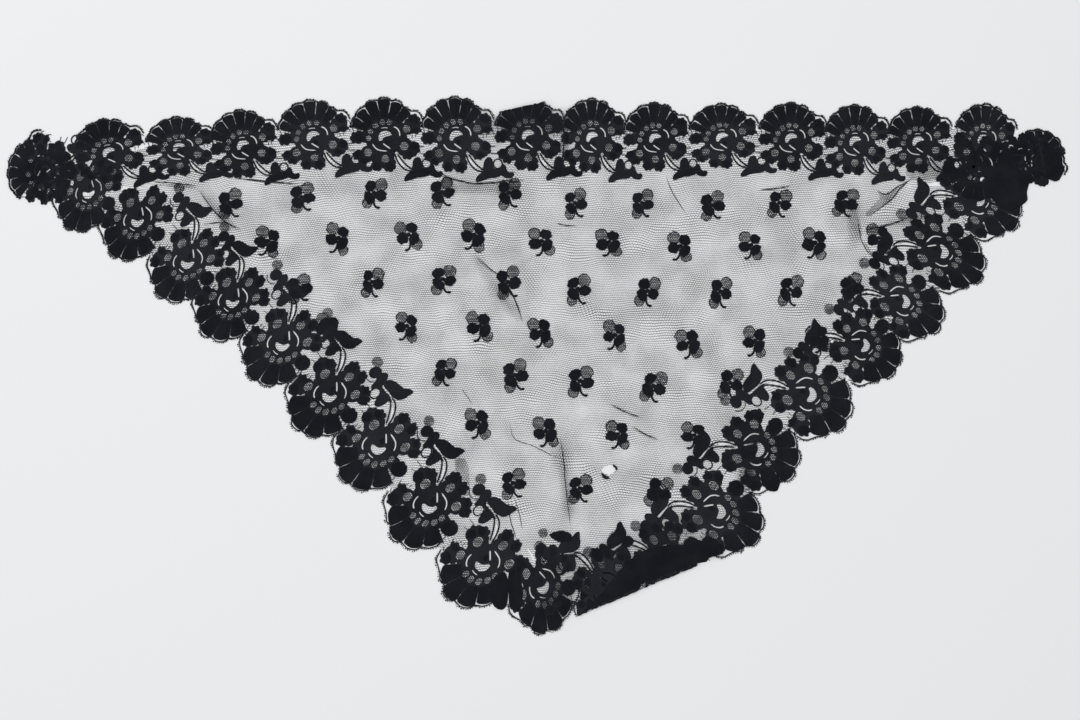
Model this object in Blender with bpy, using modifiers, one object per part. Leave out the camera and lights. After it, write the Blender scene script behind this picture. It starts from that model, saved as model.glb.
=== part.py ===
"""Triangular lace shawl (a mantilla) lying flat: a net field inside a scalloped flower border.

The shawl lies in the XY plane with its long edge at +Y, its point at -Y and its underside on Z = 0.
Every panel is a thin wall cut from one lying pattern, so neighbouring panels meet along shared seams.
"""

import math
from collections import namedtuple

import bmesh
import bpy
from mathutils import Vector

MM = 0.001

# Driving dimensions
WALL = 1.0 * MM  # thickness of the lace
SEAM_GAP = 0.3 * MM  # clear space between two panels at a seam
GRID_STEP = 15.0 * MM  # spacing of the cuts that let a panel follow the lying surface
ARC_STEPS = 9  # facets round one scallop
ROLL_RADIUS = 0.9 * MM  # mid-wall radius where an edge is turned under
ROLL_STEPS = 5  # facets round a turned edge
TURN_RAMP = 26.0 * MM  # length over which the cloth climbs onto a turned-under part

# Border flowers, one row for each: centre and the reach of its scallop, in millimetres.
Scallop = namedtuple("Scallop", "x y reach")
TOP_SCALLOPS = [
    Scallop(-495, 194, 32),
    Scallop(-427, 211, 34),
    Scallop(-357, 216, 31),
    Scallop(-293, 218, 36),
    Scallop(-223, 227, 37),
    Scallop(-151, 227, 39),
    Scallop(-80, 227, 40),
    Scallop(-8, 228, 39),
    Scallop(56, 226, 39),
    Scallop(119, 225, 36),
    Scallop(186, 226, 34),
    Scallop(255, 225, 36),
    Scallop(319, 222, 37),
    Scallop(382, 222, 35),
    Scallop(452, 224, 36),
    Scallop(500, 206, 29),
]
LEFT_SCALLOPS = [
    Scallop(-446, 172, 36),
    Scallop(-397, 144, 38),
    Scallop(-347, 102, 39),
    Scallop(-302, 63, 39),
    Scallop(-252, 20, 41),
    Scallop(-205, -31, 42),
    Scallop(-156, -83, 44),
    Scallop(-105, -142, 45),
    Scallop(-52, -200, 49),
]
RIGHT_SCALLOPS = [
    Scallop(442, 166, 42),
    Scallop(406, 114, 43),
    Scallop(368, 64, 40),
    Scallop(328, 20, 36),
    Scallop(274, -29, 42),
    Scallop(222, -84, 39),
    Scallop(183, -146, 48),
    Scallop(134, -196, 42),
    Scallop(72, -225, 46),
    Scallop(8, -221, 42),
]

# Seam corners, in millimetres: the net field's outline, and where its three corners lie.
Corner = namedtuple("Corner", "x y")
LEFT_INNER = Corner(-384, 178)
RIGHT_INNER = Corner(370, 178)
POINT_INNER = Corner(-20, -170)
TOP_SEAM = [LEFT_INNER, Corner(-330, 187), Corner(0, 187), Corner(314, 187), RIGHT_INNER]
LEFT_SEAM = [LEFT_INNER, Corner(-190, 22), POINT_INNER]
RIGHT_SEAM = [RIGHT_INNER, Corner(314, 74), Corner(164, -80), Corner(104, -170), Corner(60, -184), POINT_INNER]

# Edges turned under: the line they turn on, and how far the turned part reaches back.
Turning = namedtuple("Turning", "x1 y1 x2 y2 depth")
TURNINGS = [
    Turning(176, -194, 34, -254, 36),
    Turning(-43, 250, 27, 266, 12),
]

# Creases and pleats that stand up from the cloth: from, to, height and width.
Crease = namedtuple("Crease", "x1 y1 x2 y2 height width")
CREASES = [
    Crease(-102, 178, -12, 174, 3.0, 14),
    Crease(-64, 112, -14, 42, 3.5, 16),
    Crease(-334, 174, -300, 130, 3.0, 14),
    Crease(316, 162, 320, 116, 4.0, 16),
    Crease(358, 139, 398, 152, 3.0, 14),
    Crease(28, 262, 30, 200, 4.0, 14),
    Crease(499, 236, 508, 180, 5.0, 16),
    Crease(10, -222, 17, -264, 3.5, 12),
    Crease(25, -72, 34, -160, 3.0, 16),
    Crease(220, -66, 204, -130, 4.0, 16),
]

LACE_BLACK = (0.010, 0.011, 0.014, 1.0)
NET_BLACK = (0.035, 0.036, 0.040, 1.0)


def metres(point):
    return Vector((point.x * MM, point.y * MM))


def clear_scene():
    for thing in list(bpy.data.objects):
        bpy.data.objects.remove(thing, do_unlink=True)


def lace_material(name, colour, roughness):
    material = bpy.data.materials.new(name)
    material.use_nodes = True
    shader = material.node_tree.nodes["Principled BSDF"]
    shader.inputs["Base Color"].default_value = colour
    shader.inputs["Roughness"].default_value = roughness
    shader.inputs["Metallic"].default_value = 0.0
    return material


def valley(first, second):
    """Where two neighbouring scallops meet, on the right-hand side of the way from first to second."""
    start, end = metres(first), metres(second)
    apart = (end - start).length
    way = (end - start) / apart
    reach, other = first.reach * MM, second.reach * MM
    along = (reach**2 - other**2 + apart**2) / (2 * apart)
    out = math.sqrt(max(reach**2 - along**2, 0.0))
    return start + way * along + Vector((way.y, -way.x)) * out


def scallop_arc(scallop, start, end):
    """Points round one scallop, anticlockwise from start to end."""
    centre = metres(scallop)
    first = math.atan2(start.y - centre.y, start.x - centre.x)
    last = math.atan2(end.y - centre.y, end.x - centre.x)
    sweep = (last - first) % math.tau
    reach = scallop.reach * MM
    angles = [first + sweep * step / ARC_STEPS for step in range(1, ARC_STEPS)]
    return [centre + Vector((math.cos(a), math.sin(a))) * reach for a in angles]


def scalloped_edge(scallops, start, end):
    """The outer edge of a border, anticlockwise round the shawl."""
    meets = [start] + [valley(a, b) for a, b in zip(scallops, scallops[1:])] + [end]
    points = [start]
    for scallop, before, after in zip(scallops, meets, meets[1:]):
        points += scallop_arc(scallop, before, after) + [after]
    return points


def smooth(value):
    value = min(max(value, 0.0), 1.0)
    return value * value * (3 - 2 * value)


def along_and_beyond(turning, x, y):
    """Place of a point along a turning line, and its distance beyond it on the turned side."""
    start = Vector((turning.x1, turning.y1)) * MM
    end = Vector((turning.x2, turning.y2)) * MM
    way = (end - start).normalized()
    side = Vector((-way.y, way.x))
    offset = Vector((x, y)) - start
    return offset.dot(way), offset.dot(side), way, side, (end - start).length


def climb(turning, x, y):
    """How far the cloth is lifted by a turned-under part that lies below it."""
    along, beyond, _, _, length = along_and_beyond(turning, x, y)
    past_end = max(-along, along - length, 0.0)
    past_side = max(-beyond - turning.depth * MM, beyond, 0.0)
    return 2 * ROLL_RADIUS * smooth(1 - math.hypot(past_end, past_side) / TURN_RAMP)


def ridge(crease, x, y):
    """Height of one crease at a point: a rounded ridge that fades out at both ends."""
    start = Vector((crease.x1, crease.y1)) * MM
    end = Vector((crease.x2, crease.y2)) * MM
    length = (end - start).length
    way = (end - start) / length
    offset = Vector((x, y)) - start
    along = offset.dot(way) / length
    across = abs(offset.dot(Vector((-way.y, way.x)))) / (crease.width * MM / 2)
    if across >= 1 or along <= 0 or along >= 1:
        return 0.0
    fade = smooth(min(along, 1 - along) * 4)
    return crease.height * MM * fade * math.cos(across * math.pi / 2) ** 2


def lay(x, y):
    """From the cut lying open to where the cloth really lies, at the middle of the wall."""
    for turning in TURNINGS:
        along, beyond, way, side, length = along_and_beyond(turning, x, y)
        if beyond <= 1e-6 or along < 0 or along > length:
            continue
        angle = min(beyond / ROLL_RADIUS, math.pi)
        back = ROLL_RADIUS * math.sin(angle) - max(beyond - math.pi * ROLL_RADIUS, 0.0)
        height = WALL / 2 + ROLL_RADIUS * (1 + math.cos(angle))
        place = Vector((x, y)) + side * (back - beyond)
        return Vector((place.x, place.y, height))
    lift = max(climb(turning, x, y) for turning in TURNINGS)
    stand = max(ridge(crease, x, y) for crease in CREASES)
    return Vector((x, y, WALL / 2 + lift + stand))


def cut_lines(bm, faces, point, normal):
    """Cuts some of the faces along a straight line."""
    parts = set(faces)
    for face in faces:
        parts.update(face.edges)
        parts.update(face.verts)
    bmesh.ops.bisect_plane(
        bm,
        geom=list(parts),
        dist=1e-6,
        plane_co=point.to_3d(),
        plane_no=normal.to_3d(),
    )


def faces_near(bm, start, end, reach):
    """Faces whose middle lies within reach of the stretch from start to end."""
    length = (end - start).length
    way = (end - start) / length
    near = []
    for face in bm.faces:
        offset = face.calc_center_bounds().to_2d() - start
        nearest = start + way * min(max(offset.dot(way), 0.0), length)
        if (face.calc_center_bounds().to_2d() - nearest).length < reach:
            near.append(face)
    return near


def grid_cuts(bm, outline):
    """Cuts the panel into squares, so that it can follow the lying surface."""
    for axis in range(2):
        values = [point[axis] for point in outline]
        first = math.ceil(min(values) / GRID_STEP)
        last = math.floor(max(values) / GRID_STEP)
        for index in range(first, last + 1):
            point = Vector((0.0, 0.0))
            point[axis] = (index + 0.5) * GRID_STEP
            normal = Vector((0.0, 0.0))
            normal[axis] = 1.0
            cut_lines(bm, bm.faces[:], point, normal)


def fold_cuts(bm):
    """Cuts along the turned edges and on both sides of each crease."""
    for turning in TURNINGS:
        start = Vector((turning.x1, turning.y1)) * MM
        end = Vector((turning.x2, turning.y2)) * MM
        _, _, _, side, _ = along_and_beyond(turning, 0.0, 0.0)
        for step in range(ROLL_STEPS + 1):
            shift = side * math.pi * ROLL_RADIUS * step / ROLL_STEPS
            near = faces_near(bm, start, end, GRID_STEP)
            cut_lines(bm, near, start + shift, side)
    for crease in CREASES:
        start = Vector((crease.x1, crease.y1)) * MM
        end = Vector((crease.x2, crease.y2)) * MM
        way = (end - start).normalized()
        side = Vector((-way.y, way.x))
        for share in (-0.5, -0.25, 0.0, 0.25, 0.5):
            near = faces_near(bm, start, end, 0.8 * GRID_STEP)
            cut_lines(bm, near, start + side * crease.width * MM * share, side)


def inset_outline(points):
    """The outline drawn in by half the seam gap, so that two panels never touch."""
    drawn_in = []
    count = len(points)
    for index, point in enumerate(points):
        before, after = points[index - 1], points[(index + 1) % count]
        first = (point - before).normalized()
        second = (after - point).normalized()
        normal = Vector((-first.y - second.y, first.x + second.x)).normalized()
        stretch = max(normal.dot(Vector((-first.y, first.x))), 0.5)
        drawn_in.append(point + normal * SEAM_GAP / 2 / stretch)
    return drawn_in


def panel(name, outline, material, collection):
    """One cut panel as a closed wall that follows the lying surface."""
    points = inset_outline(outline)
    bm = bmesh.new()
    bm.faces.new([bm.verts.new((point.x, point.y, 0.0)) for point in points])
    grid_cuts(bm, points)
    fold_cuts(bm)
    bmesh.ops.remove_doubles(bm, verts=bm.verts[:], dist=0.0001)
    bmesh.ops.triangulate(bm, faces=bm.faces[:])
    for vertex in bm.verts:
        vertex.co = lay(vertex.co.x, vertex.co.y)
    mesh = bpy.data.meshes.new(name)
    bm.to_mesh(mesh)
    bm.free()
    mesh.materials.append(material)
    cloth = bpy.data.objects.new(name, mesh)
    collection.objects.link(cloth)
    wall = cloth.modifiers.new("Wall", "SOLIDIFY")
    wall.thickness = WALL
    wall.offset = 0.0
    wall.use_even_offset = True
    return cloth


def main():
    clear_scene()
    collection = bpy.data.collections.new("lace_shawl")
    bpy.context.scene.collection.children.link(collection)
    clothwork = lace_material("border_lace", LACE_BLACK, 0.85)
    net = lace_material("net", NET_BLACK, 0.8)

    left_mitre = valley(TOP_SCALLOPS[0], LEFT_SCALLOPS[0])
    point_mitre = valley(LEFT_SCALLOPS[-1], RIGHT_SCALLOPS[-1])
    right_mitre = valley(RIGHT_SCALLOPS[0], TOP_SCALLOPS[-1])

    top_edge = scalloped_edge(TOP_SCALLOPS[::-1], right_mitre, left_mitre)
    left_edge = scalloped_edge(LEFT_SCALLOPS, left_mitre, point_mitre)
    right_edge = scalloped_edge(RIGHT_SCALLOPS[::-1], point_mitre, right_mitre)

    top_seam = [metres(corner) for corner in TOP_SEAM]
    left_seam = [metres(corner) for corner in LEFT_SEAM]
    right_seam = [metres(corner) for corner in RIGHT_SEAM]

    panel("border_top", top_edge + top_seam, clothwork, collection)
    panel("border_left", left_edge + left_seam[::-1], clothwork, collection)
    panel("border_right", right_edge + right_seam, clothwork, collection)
    field = left_seam + right_seam[::-1][1:] + top_seam[::-1][1:-1]
    panel("net_field", field, net, collection)


main()
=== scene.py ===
import math
import random

import bmesh
import bpy
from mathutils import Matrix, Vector


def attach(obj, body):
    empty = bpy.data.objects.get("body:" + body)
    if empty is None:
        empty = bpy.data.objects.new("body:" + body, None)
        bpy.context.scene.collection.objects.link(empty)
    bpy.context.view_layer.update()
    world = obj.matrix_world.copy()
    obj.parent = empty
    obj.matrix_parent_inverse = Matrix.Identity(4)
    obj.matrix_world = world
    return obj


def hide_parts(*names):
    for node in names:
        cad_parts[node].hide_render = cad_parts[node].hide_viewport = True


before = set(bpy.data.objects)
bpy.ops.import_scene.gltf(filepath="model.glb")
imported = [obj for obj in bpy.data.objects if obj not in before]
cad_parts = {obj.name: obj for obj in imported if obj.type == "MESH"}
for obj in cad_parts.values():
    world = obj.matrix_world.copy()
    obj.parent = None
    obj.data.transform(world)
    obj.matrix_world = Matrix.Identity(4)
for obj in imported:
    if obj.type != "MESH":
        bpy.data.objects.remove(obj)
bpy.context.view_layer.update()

mm = 0.001
print("lace shawl: frame loaded")

# Everything is drawn in millimetres on the cut lying open, then laid down by lie().

cloth = {
    "wall": 1.0, "rollRadius": 0.9, "turnRamp": 26.0,
    "creaseEnds": 4, "broadGather": 0.10, "fineGather": 0.14,
}
halfLift = 0.06

# border flowers: centre x, y and the reach of the scallop
topFlowers = [
    (-495, 194, 32), (-427, 211, 34), (-357, 216, 31), (-293, 218, 36), (-223, 227, 37), (-151, 227, 39),
    (-80, 227, 40), (-8, 228, 39), (56, 226, 39), (119, 225, 36), (186, 226, 34), (255, 225, 36),
    (319, 222, 37), (382, 222, 35), (447, 224, 36), (500, 206, 29),
]
leftFlowers = [
    (-446, 172, 36), (-397, 144, 38), (-347, 102, 39), (-302, 63, 39), (-252, 20, 41),
    (-205, -31, 42), (-156, -83, 44), (-105, -142, 45), (-52, -200, 49),
]
rightFlowers = [
    (442, 166, 42), (406, 114, 43), (368, 64, 40), (328, 20, 36), (274, -29, 42),
    (222, -84, 39), (183, -146, 48), (134, -196, 42), (72, -225, 46), (8, -221, 42),
]
topSeam = [(-384, 178), (-330, 187), (0, 187), (314, 187), (370, 178)]
leftSeam = [(-384, 178), (-190, 22), (-20, -170)]
rightSeam = [(370, 178), (314, 74), (164, -80), (104, -170), (60, -184), (-20, -170)]

# edges turned under: the line they turn on, and how far the turned part reaches back
turnings = [(176, -194, 34, -254, 36), (-43, 250, 27, 266, 12)]

# broad creases, the same as the solid's: from, to, height, width
broadCreases = [
    (-102, 178, -12, 174, 3.0, 14), (-64, 112, -14, 42, 3.5, 16), (-334, 174, -300, 130, 3.0, 14),
    (316, 162, 320, 116, 4.0, 16), (358, 139, 398, 152, 3.0, 14), (28, 262, 30, 200, 4.0, 14),
    (499, 236, 508, 180, 5.0, 16), (10, -222, 17, -264, 3.5, 12), (25, -72, 34, -160, 3.0, 16),
    (220, -66, 204, -130, 4.0, 16),
]
# fine creases in the net: from, to, height, width
fineCreases = [
    (-103, 193, -66, 180, 1.4, 4), (-66, 180, -12, 183, 1.5, 4), (-64, 110, -38, 88, 1.4, 4),
    (-38, 88, -20, 64, 1.3, 4), (-20, 64, -13, 42, 1.2, 4), (-382, 180, -338, 177, 1.5, 4),
    (-334, 173, -314, 144, 1.3, 4), (-314, 144, -296, 134, 1.2, 4), (322, 148, 326, 126, 1.4, 4),
    (326, 126, 340, 104, 1.2, 4), (330, 134, 376, 146, 1.3, 5), (75, -40, 105, -54, 1.1, 4),
    (98, -64, 122, -76, 1.1, 4), (25, -74, 36, -164, 1.2, 4), (224, 174, 250, 178, 1.2, 4),
]
# pinched folds, seen as thin dark lines: their points and width
pinchedFolds = [
    ([(-99, 195), (-86, 186.5), (-62, 181), (-40, 182), (-26, 184.5), (-9, 184)], 1.3),
    ([(-62, 112), (-52, 101), (-38, 90), (-27, 77), (-21, 66), (-16, 53), (-13, 42)], 1.0),
    ([(-382, 182.5), (-363, 181.5), (-338, 178.5)], 1.0),
    ([(-302, 186), (-268, 183), (-237, 180.5)], 1.3),
    ([(-337, 175), (-320, 152.5), (-308, 141.5), (-294, 135.5)], 1.1),
    ([(-333, 139.7), (-316, 142), (-306, 141.5)], 0.8),
    ([(321.5, 149), (323, 134), (328, 119), (338, 106)], 0.9),
    ([(329, 134), (352, 139.5), (376, 148)], 1.2),
    ([(74, -39), (90, -47.5), (105, -52.5)], 0.9),
    ([(97, -62), (110, -70), (122, -74.5)], 0.9),
    ([(24.5, -72), (28, -96), (30, -120), (35.5, -166)], 0.9),
    ([(224, 174.5), (240, 175.5), (255, 178.5)], 0.9),
    ([(379, 188.5), (364.5, 176), (356, 165), (334.5, 149)], 1.0),
    ([(341.5, 174), (350.5, 170), (361, 177), (374, 184.5)], 0.9),
    ([(27, 250), (28.5, 226), (27, 205), (28.5, 186)], 1.2),
    ([(-22.5, -168), (-20, -200), (-18.5, -236)], 1.4),
    ([(500, 237), (503, 214), (507, 191)], 1.6),
    ([(-372, 214), (-356, 217), (-340, 213)], 1.2),
    ([(65.5, -108.5), (69, -111.5), (74.5, -114.5)], 2.6),
    ([(66.5, -111.5), (69, -113.5), (72, -115)], 1.4),
    ([(77, -100), (80, -102.5), (81.5, -106)], 2.2),
    ([(21, 141.5), (30, 139), (43, 138.5)], 1.0),
    ([(130.5, 188), (136, 174), (143, 162), (151, 150)], 0.7),
    ([(-28, -137), (-25, -155), (-19, -176)], 0.8),
    ([(-20, -135), (-16, -150), (-13, -165)], 0.6),
    ([(-26, -57), (-23, -71), (-16, -77), (-3, -81), (15, -90), (27, -94)], 0.6),
    ([(-74, -24), (-69, -31), (-63, -40)], 0.6),
]
# where the net lies double: the outline of each part
doubledNet = [
    [(374, 197), (400, 208), (409, 208), (408, 188), (392, 184), (378, 184), (370, 190)],
    [(330, 152), (344, 166), (341, 174), (350, 171), (374, 185), (365, 176), (356, 165), (335, 149)],
    [(-81, -96), (-70, -95), (-66, -112), (-67, -132), (-75, -124)],
]


def smooth(value):
    value = min(max(value, 0.0), 1.0)
    return value * value * (3 - 2 * value)


def alongLine(line, x, y):
    # place along a line, distance to its left side, and its length
    dx, dy = line[2] - line[0], line[3] - line[1]
    length = math.hypot(dx, dy)
    dx, dy = dx / length, dy / length
    ox, oy = x - line[0], y - line[1]
    return ox * dx + oy * dy, -ox * dy + oy * dx, length, (-dy, dx)


def ridge(crease, x, y):
    along, across, length, _ = alongLine(crease, x, y)
    across = abs(across) / (crease[5] / 2)
    if across >= 1 or along <= 0 or along >= length:
        return 0.0
    share = along / length
    return smooth(min(share, 1 - share) * cloth["creaseEnds"]) * math.cos(across * math.pi / 2) ** 2


def climb(turning, x, y):
    along, beyond, length, _ = alongLine(turning, x, y)
    pastEnd = max(-along, along - length, 0.0)
    pastSide = max(-beyond - turning[4], beyond, 0.0)
    return 2 * cloth["rollRadius"] * smooth(1 - math.hypot(pastEnd, pastSide) / cloth["turnRamp"])


def gathering(x, y):
    # how closely the net is gathered at a point of the cut
    broad = max(ridge(crease, x, y) for crease in broadCreases) * cloth["broadGather"]
    fine = max(ridge(crease, x, y) for crease in fineCreases) * cloth["fineGather"]
    return max(broad, fine)


def lie(x, y, lift):
    # from the cut lying open to where the cloth lies; lift is the height above the middle of the cloth
    radius, half = cloth["rollRadius"], cloth["wall"] / 2
    for turning in turnings:
        along, beyond, length, side = alongLine(turning, x, y)
        if beyond <= 1e-3 or along < 0 or along > length:
            continue
        angle = min(beyond / radius, math.pi)
        back = (radius + lift) * math.sin(angle) - max(beyond - math.pi * radius, 0.0)
        height = half + radius + (radius + lift) * math.cos(angle)
        shift = back - beyond
        return Vector((x + side[0] * shift, y + side[1] * shift, height)) * mm
    lifted = max(climb(turning, x, y) for turning in turnings)
    stand = max(crease[4] * ridge(crease, x, y) for crease in broadCreases + fineCreases)
    return Vector((x, y, half + lifted + stand + lift)) * mm


def rounded(points, steps=3, closed=True):
    # a smooth line through the given points
    count = len(points)
    line = []
    last = count if closed else count - 1
    for i in range(last):
        if closed:
            p0, p1, p2, p3 = (points[(i + k) % count] for k in (-1, 0, 1, 2))
        else:
            p0, p1, p2, p3 = (points[min(max(i + k, 0), count - 1)] for k in (-1, 0, 1, 2))
        for s in range(steps):
            t = s / steps
            line.append(tuple(
                0.5 * (2 * b + (c - a) * t + (2 * a - 5 * b + 4 * c - d) * t ** 2
                       + (3 * b - a - 3 * c + d) * t ** 3)
                for a, b, c, d in zip(p0, p1, p2, p3)
            ))
    if not closed:
        line.append(points[-1])
    return line


def scalloped(outline, pitch, depth):
    # the same anticlockwise outline nipped in at even steps, which leaves small rounded bumps
    lengths = [math.dist(a, b) for a, b in zip(outline, outline[1:] + outline[:1])]
    stepsEach = 4
    count = round(sum(lengths) / pitch) * stepsEach
    line, side, walked = [], 0, 0.0
    for i in range(count):
        reached = sum(lengths) * i / count
        while walked + lengths[side] < reached:
            walked += lengths[side]
            side += 1
        (ax, ay), (bx, by) = outline[side], outline[(side + 1) % len(outline)]
        share = (reached - walked) / lengths[side]
        nip = depth * (abs(math.sin(math.pi * i / stepsEach)) - 1) / lengths[side]
        line.append((ax + (bx - ax) * share + (by - ay) * nip, ay + (by - ay) * share - (bx - ax) * nip))
    return line


def circleLine(x, y, radius, count=10):
    return [
        (x + radius * math.cos(math.tau * i / count), y + radius * math.sin(math.tau * i / count))
        for i in range(count)
    ]


def slitLine(points, width):
    # the closed outline of a narrow slit that follows the points, pointed at both ends
    line = rounded(points, 3, closed=False)
    left, right = [], []
    for i in range(1, len(line) - 1):
        (ax, ay), (bx, by) = line[i - 1], line[i + 1]
        length = math.hypot(bx - ax, by - ay)
        nx, ny = -(by - ay) / length * width / 2, (bx - ax) / length * width / 2
        x, y = line[i]
        left.append((x + nx, y + ny))
        right.append((x - nx, y - ny))
    return [line[0]] + right + [line[-1]] + left[::-1]


def isInside(outline, x, y):
    inside = False
    for (ax, ay), (bx, by) in zip(outline, outline[1:] + outline[:1]):
        if (ay > y) != (by > y) and x < ax + (y - ay) / (by - ay) * (bx - ax):
            inside = not inside
    return inside


def edgeDistance(outline, x, y):
    nearest = math.inf
    for (ax, ay), (bx, by) in zip(outline, outline[1:] + outline[:1]):
        dx, dy = bx - ax, by - ay
        share = min(max(((x - ax) * dx + (y - ay) * dy) / (dx * dx + dy * dy or 1.0), 0.0), 1.0)
        nearest = min(nearest, math.hypot(ax + dx * share - x, ay + dy * share - y))
    return nearest


def clearHoles(outline, holes, margin=0.5):
    # the holes that lie wholly inside the outline and clear of each other
    kept = []
    for hole in holes:
        cx, cy = (sum(values) / len(hole) for values in zip(*hole))
        size = max(math.dist((cx, cy), point) for point in hole)
        if not isInside(outline, cx, cy):
            continue
        if edgeDistance(outline, cx, cy) < size + margin and any(
            not isInside(outline, x, y) or edgeDistance(outline, x, y) < margin for x, y in hole
        ):
            continue
        near = [other for other, x, y, reach in kept if math.dist((cx, cy), (x, y)) < size + reach + margin]
        if not any(edgeDistance(other, x, y) < margin for other in near for x, y in hole):
            kept.append((hole, cx, cy, size))
    return [hole for hole, _, _, _ in kept]


def outlineArea(outline):
    return abs(sum(ax * by - bx * ay for (ax, ay), (bx, by) in zip(outline, outline[1:] + outline[:1]))) / 2


def fillShape(bm, outline, holes=(), height=0.0):
    # flat cloth inside the outline with the holes left open; a fill that misses a part is made again
    wanted = outlineArea(outline) - sum(outlineArea(hole) for hole in holes)
    attempts = 6
    for attempt in range(attempts):
        edges, nudge = [], 0.02 * attempt
        for loop in [outline, *holes]:
            corners = [
                bm.verts.new((x + nudge * math.sin(7 * i), y + nudge * math.cos(5 * i), height))
                for i, (x, y) in enumerate(loop)
            ]
            edges += [bm.edges.new(pair) for pair in zip(corners, corners[1:] + corners[:1])]
        made = bmesh.ops.triangle_fill(bm, use_beauty=True, edges=edges, normal=(0, 0, 1))
        faces = [part for part in made["geom"] if isinstance(part, bmesh.types.BMFace)]
        missing = abs(sum(face.calc_area() for face in faces) - wanted)
        if attempt == attempts - 1 or missing < 0.01 * wanted:
            break
        bmesh.ops.delete(bm, geom=list({vert for edge in edges for vert in edge.verts}), context="VERTS")
    for face in faces:
        face.normal_update()
    turned = [face for face in faces if face.normal.z < 0]
    bmesh.ops.reverse_faces(bm, faces=turned)
    return faces


# dense work, in millimetres: where its rim starts off the net, how high its top stands, how wide the rim is
relief = {
    "body": (0.12, 0.36, 0.45), "petal": (0.2, 0.44, 0.8), "lobe": (0.3, 0.46, 1.0),
    "leaf": (0.14, 0.383, 0.45), "folded": (0.5, 0.64, 0.45), "sprig": (0.2, 0.5, 0.8),
}
# how much higher each further part stands, so that no two lie exactly in one another
stagger = {"leaf": 0.012, "folded": 0.01, "flower": 0.05, "overStart": 0.12, "over": 0.017}


def raiseShape(bm, outline, kind, holes=(), higher=0.0):
    # dense work: a patch with a soft raised edge
    low, high, rim = relief[kind]
    faces = fillShape(bm, outline, holes, low)
    bmesh.ops.inset_region(
        bm, faces=faces, thickness=rim, depth=high + higher - low, use_even_offset=False, use_boundary=True
    )


def thread(bm, points, width, height=0.34, thick=0.28, closed=False, blunt=100.0):
    # a flat-lying thread along the points; blunt says how soon it reaches its full width
    count, sides = len(points), 4
    columns = count if closed else count - 1
    made = bmesh.ops.create_grid(bm, x_segments=columns, y_segments=sides, size=1.0)
    for vert in made["verts"]:
        column = round((vert.co.x + 1) / 2 * columns)
        around = round((vert.co.y + 1) / 2 * sides) * math.tau / sides
        i = column % count
        if closed:
            before, after = points[i - 1], points[(i + 1) % count]
        else:
            before, after = points[max(i - 1, 0)], points[min(i + 1, count - 1)]
        dx, dy = after[0] - before[0], after[1] - before[1]
        length = math.hypot(dx, dy) or 1.0
        share = column / columns
        size = 1.0 if closed else min(min(share, 1 - share) * blunt, 1.0)
        side = math.cos(around) * width / 2 * size
        rise = math.sin(around) * thick / 2 * size
        x, y = points[i]
        vert.co = (x - dy / length * side, y + dx / length * side, height + rise)
    bmesh.ops.remove_doubles(bm, verts=made["verts"], dist=0.001)


def joinInto(whole, part, higher=0.0):
    # a motif is drawn on its own and then joined, which is quicker
    bmesh.ops.translate(part, verts=part.verts[:], vec=(0, 0, higher))
    carrier = bpy.data.meshes.new("carrier")
    part.to_mesh(carrier)
    part.free()
    whole.from_mesh(carrier)
    bpy.data.meshes.remove(carrier)


def placer(x, y, turn, wide, tall):
    # where a point of a motif falls on the cut
    c, s = math.cos(turn), math.sin(turn)

    def place(point):
        u, v = point[0] * wide, point[1] * tall
        return (x + c * u - s * v, y + s * u + c * v)

    return place


def moved(place, points):
    return [place(point) for point in points]


class Wire:
    # one socket of a material, with the sums that the materials use
    def __init__(self, board, socket):
        self.board, self.socket = board, socket

    def maths(self, operation, *others):
        return self.board.add("ShaderNodeMath", {"operation": operation}, [self, *others])

    def __add__(self, other):
        return self.maths("ADD", other)

    def __sub__(self, other):
        return self.maths("SUBTRACT", other)

    def __mul__(self, other):
        return self.maths("MULTIPLY", other)

    def __rsub__(self, other):
        return self.board.add("ShaderNodeMath", {"operation": "SUBTRACT"}, [other, self])

    __radd__ = __add__
    __rmul__ = __mul__


class Board:
    # one material under construction
    def __init__(self, name, roughness, specular):
        self.material = bpy.data.materials.new(name)
        self.material.use_nodes = True
        self.nodes = self.material.node_tree.nodes
        self.links = self.material.node_tree.links
        self.shader = self.nodes["Principled BSDF"]
        self.shader.inputs["Roughness"].default_value = roughness
        self.shader.inputs["Specular IOR Level"].default_value = specular

    def join(self, value, socket):
        if isinstance(value, Wire):
            self.links.new(value.socket, socket)
        else:
            socket.default_value = value

    def add(self, kind, settings=None, inputs=(), output=0):
        node = self.nodes.new(kind)
        for name, value in (settings or {}).items():
            setattr(node, name, value)
        pairs = inputs.items() if isinstance(inputs, dict) else enumerate(inputs)
        for name, value in pairs:
            self.join(value, node.inputs[name])
        return Wire(self, node.outputs[output])

    def feed(self, name, value):
        self.join(value, self.shader.inputs[name])


def cutPlace(board):
    # the cut's own coordinates in millimetres
    spot = board.add("ShaderNodeUVMap", {"uv_map": "cut"})
    parts = board.add("ShaderNodeSeparateXYZ", inputs=[spot])
    return spot, parts * 1000.0, Wire(board, parts.socket.node.outputs[1]) * 1000.0


def cloudy(board, spot, scale, detail, output=0):
    # soft random patches over the cut
    inputs = {"Vector": spot, "Scale": scale, "Detail": detail}
    return board.add("ShaderNodeTexNoise", {"noise_dimensions": "2D"}, inputs, output)


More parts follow.
